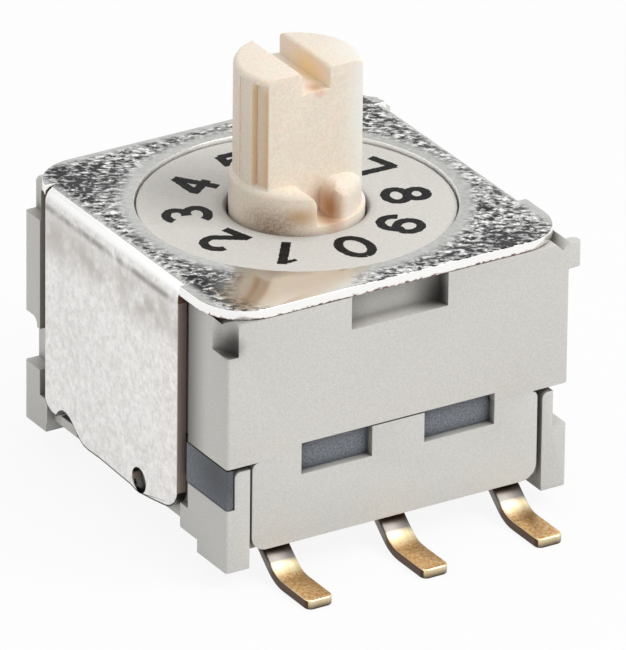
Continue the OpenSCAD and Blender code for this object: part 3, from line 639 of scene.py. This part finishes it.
def ribbon(line, width, level, chance):
    """A thin flat ribbon of ink with slightly ragged sides along a line: its vertices and faces."""
    points = []
    for start, end in zip(line, line[1:]):
        steps = max(1, round(math.dist(start, end) / LINE_STEP))
        points += [(start[0] + (end[0] - start[0]) * k / steps, start[1] + (end[1] - start[1]) * k / steps)
                   for k in range(steps)]
    points.append(line[-1])
    last = len(points) - 1
    corners = []
    for i, (x, y) in enumerate(points):
        before, after = points[max(i - 1, 0)], points[min(i + 1, last)]
        along = Vector((after[0] - before[0], after[1] - before[1])).normalized()
        for side in (-1, 1):
            reach = side * (width / 2 + chance.uniform(-RAGGEDNESS, RAGGEDNESS))
            corners += [(x - along.y * reach, y + along.x * reach, level + z) for z in (-INK_THICKNESS, 0)]
    faces = [(0, 1, 3, 2), (4 * last, 4 * last + 2, 4 * last + 3, 4 * last + 1)]
    for i in range(0, 4 * last, 4):
        faces += [(i + 1, i + 5, i + 7, i + 3), (i, i + 2, i + 6, i + 4), (i, i + 4, i + 5, i + 1),
                  (i + 2, i + 3, i + 7, i + 6)]
    return corners, faces


def dial_numbers():
    """The numbers 0 to 9 around the dial, clockwise from the front, their tops outward."""
    ink = pad_ink()
    chance = random.Random(10)
    for number, lines in NUMBERS.items():
        corners, faces = [], []
        for k, line in enumerate(lines):
            width = THIN_LINE if (number, k) == FLAG_OF_ONE else LINE_WIDTH
            level = DIAL_FACE + INK_THICKNESS * (FIRST_STROKE + STROKE_RISE * k)
            more_corners, more_faces = ribbon(line, width, level, chance)
            faces += [tuple(i + len(corners) for i in face) for face in more_faces]
            corners += more_corners
        turn = -2 * math.pi * int(number) / len(NUMBERS)
        out = Vector((math.sin(turn), -math.cos(turn), 0))
        place = Matrix.Translation(out * NUMBER_RING) @ Matrix.Rotation(turn + math.pi, 4, "Z")
        mesh = bpy.data.meshes.new(f"number_{number}")
        mesh.from_pydata([place @ Vector(corner) * MM for corner in corners], [], faces)
        mesh.materials.append(ink)
        piece = bpy.data.objects.new(f"number_{number}", mesh)
        bpy.context.collection.objects.link(piece)
        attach(piece, "body")


# The floor's half width in metres, how far it shows as plain white, and the world's strength as light
FLOOR_HALF = 0.5
FLOOR_GLOW = 0.9
WORLD_LIGHT = 0.5

# Each lamp's name, place and width in metres, and power in watts
LAMPS = [("key", (0.16, -0.2, 0.3), 0.2, 0.75), ("top", (-0.05, 0.05, 0.35), 0.6, 0.3)]


def background_rays(tree):
    """1 for rays of the camera, a reflection or glass, which see the background; 0 for its light."""
    rays = add(tree, "ShaderNodeLightPath").outputs
    seen = add(tree, "ShaderNodeMath", {0: rays["Is Camera Ray"], 1: rays["Is Glossy Ray"]},
               operation="MAXIMUM")
    return add(tree, "ShaderNodeMath", {0: seen, 1: rays["Is Transmission Ray"]}, operation="MAXIMUM")


def white_floor():
    """White paper under the part: it keeps the shadow, and shows nearly white to the camera."""
    paper, tree, shader, _ = material("white_paper", 0.9)
    feed(tree, shader, {"Base Color": srgb("f2f2f2"), "Specular IOR Level": 0})
    glow = add(tree, "ShaderNodeEmission", {"Strength": 1})
    share = add(tree, "ShaderNodeMath", {0: background_rays(tree), 1: FLOOR_GLOW}, operation="MULTIPLY")
    lit = add(tree, "ShaderNodeMixShader", {0: share, 1: shader, 2: glow})
    feed(tree, tree.nodes["Material Output"], {"Surface": lit})
    mesh = bpy.data.meshes.new("floor")
    corners = [(-FLOOR_HALF, -FLOOR_HALF, 0), (FLOOR_HALF, -FLOOR_HALF, 0), (FLOOR_HALF, FLOOR_HALF, 0),
               (-FLOOR_HALF, FLOOR_HALF, 0)]
    mesh.from_pydata(corners, [], [(0, 1, 2, 3)])
    mesh.materials.append(paper)
    floor = bpy.data.objects.new("floor", mesh)
    bpy.context.collection.objects.link(floor)


def white_world():
    """A white world, full to the camera and half as strong as light."""
    world = bpy.data.worlds.new("studio")
    bpy.context.scene.world = world
    world.use_nodes = True
    tree = world.node_tree
    strength = add(tree, "ShaderNodeMapRange", {"Value": background_rays(tree), "To Min": WORLD_LIGHT,
                                                "To Max": 1})
    feed(tree, tree.nodes["Background"], {"Color": srgb("ffffff"), "Strength": strength})


def lamps():
    """A key light from the front right and a wide light from above, both aimed at the part."""
    for name, place, size, power in LAMPS:
        light = bpy.data.lights.new(name, "AREA")
        light.size = size
        light.energy = power
        lamp = bpy.data.objects.new(name, light)
        bpy.context.collection.objects.link(lamp)
        lamp.location = place
        lamp.rotation_mode = "QUATERNION"
        lamp.rotation_quaternion = Vector(place).to_track_quat("Z", "Y")


def photo_camera():
    """The camera at the photograph's viewing angle: far off with a long lens, nearly without perspective."""
    back = Vector((math.sin(AZIMUTH) * math.cos(ELEVATION), -math.cos(AZIMUTH) * math.cos(ELEVATION),
                   math.sin(ELEVATION)))
    level = Vector((math.cos(AZIMUTH), math.sin(AZIMUTH), 0))
    up = back.cross(level)
    right = math.cos(ROLL) * level + math.sin(ROLL) * up
    top = back.cross(right)
    aside = (AIM_PX[0] - IMAGE_W / 2) / FOCAL_PX * CAMERA_DISTANCE
    above = (IMAGE_H / 2 - AIM_PX[1]) / FOCAL_PX * CAMERA_DISTANCE
    lens = bpy.data.cameras.new("photo_camera")
    lens.sensor_width = SENSOR_MM
    lens.lens = SENSOR_MM * FOCAL_PX / IMAGE_H
    lens.clip_start, lens.clip_end = CLIP_NEAR, CLIP_FAR
    camera = bpy.data.objects.new("photo_camera", lens)
    bpy.context.collection.objects.link(camera)
    place = AIM - aside * right - above * top + CAMERA_DISTANCE * back
    camera.matrix_world = Matrix.Translation(place) @ Matrix((right, top, back)).transposed().to_4x4()
    bpy.context.scene.camera = camera


dress_pieces()
dial_numbers()
white_floor()
white_world()
lamps()
photo_camera()
bpy.context.scene.view_settings.view_transform = "Standard"
